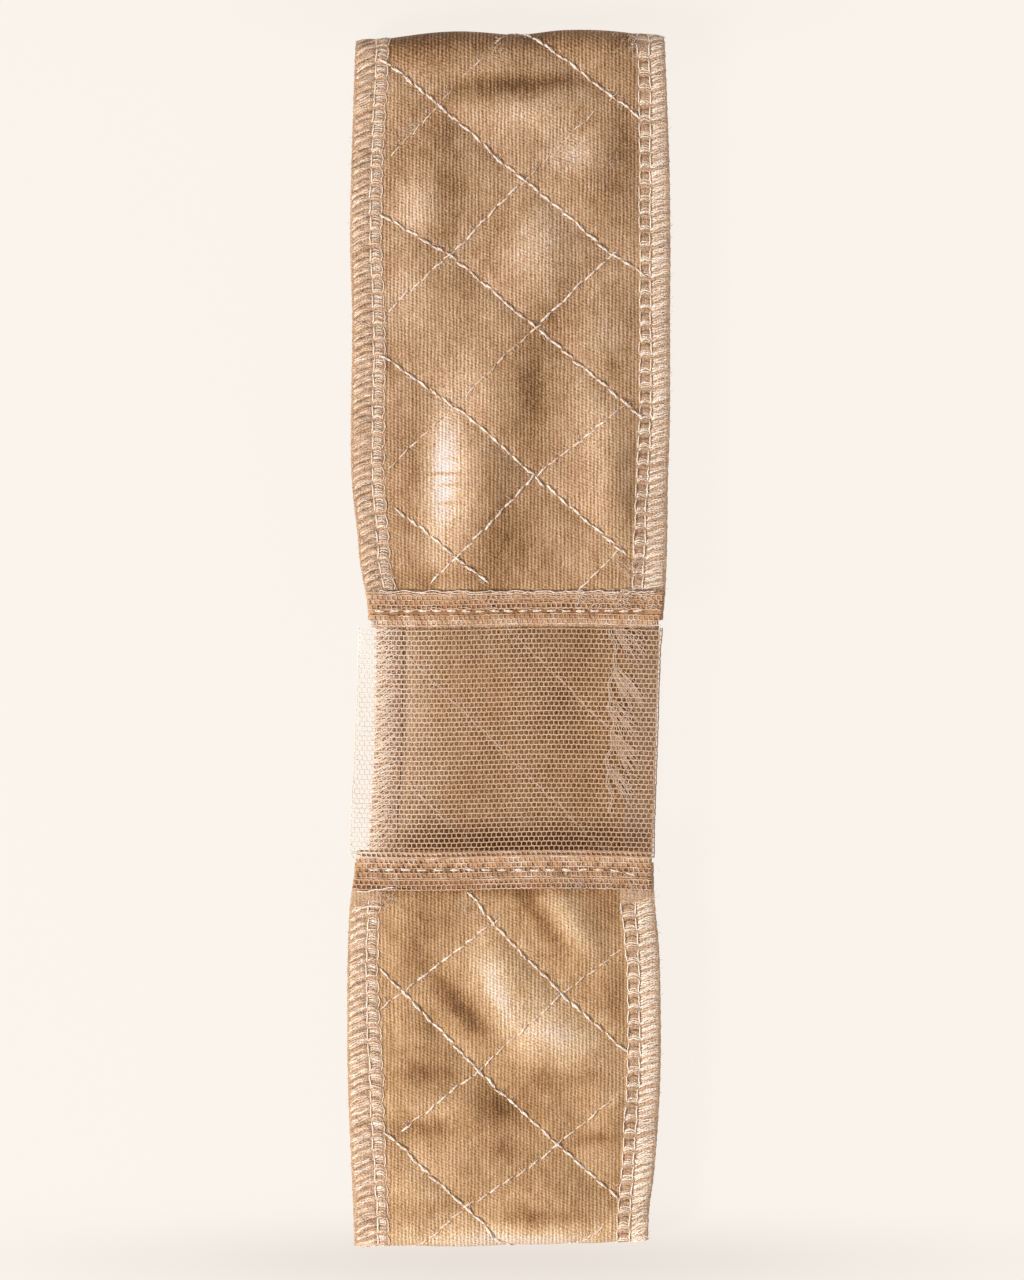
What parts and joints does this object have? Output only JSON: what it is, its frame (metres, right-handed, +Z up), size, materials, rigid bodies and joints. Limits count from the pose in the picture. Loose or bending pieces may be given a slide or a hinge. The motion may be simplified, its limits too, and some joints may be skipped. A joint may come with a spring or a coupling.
{
  "type": "wig grip band",
  "caption": "Wig grip band, a quilted velvet loop with overlocked edges and a sheer net window, lying folded flat; it holds a wig on the head",
  "frame": {"origin": "centre of the band's footprint, on the surface it lies on", "axes": "+Y runs along the flattened loop from the lower fold to the upper fold as the picture shows them, +X to the right across the band, +Z up out of the front layer"},
  "size_m": [0.0661, 0.2495, 0.0121],
  "materials": {
    "velvet": "crushed short-pile velvet",
    "overlock_thread": "loose fuzzy thread",
    "net": "matt fine net",
    "fastener": "matt woven"
  },
  "bodies": {
    "root": {"upper_panel": "velvet", "lower_panel": "velvet", "upper_left_edge": "overlock_thread", "upper_right_edge": "overlock_thread", "lower_left_edge": "overlock_thread", "lower_right_edge": "overlock_thread", "upper_hem": "net", "lower_hem": "net", "net_window": "net", "fastener": "fastener"}
  },
  "joints": []
}
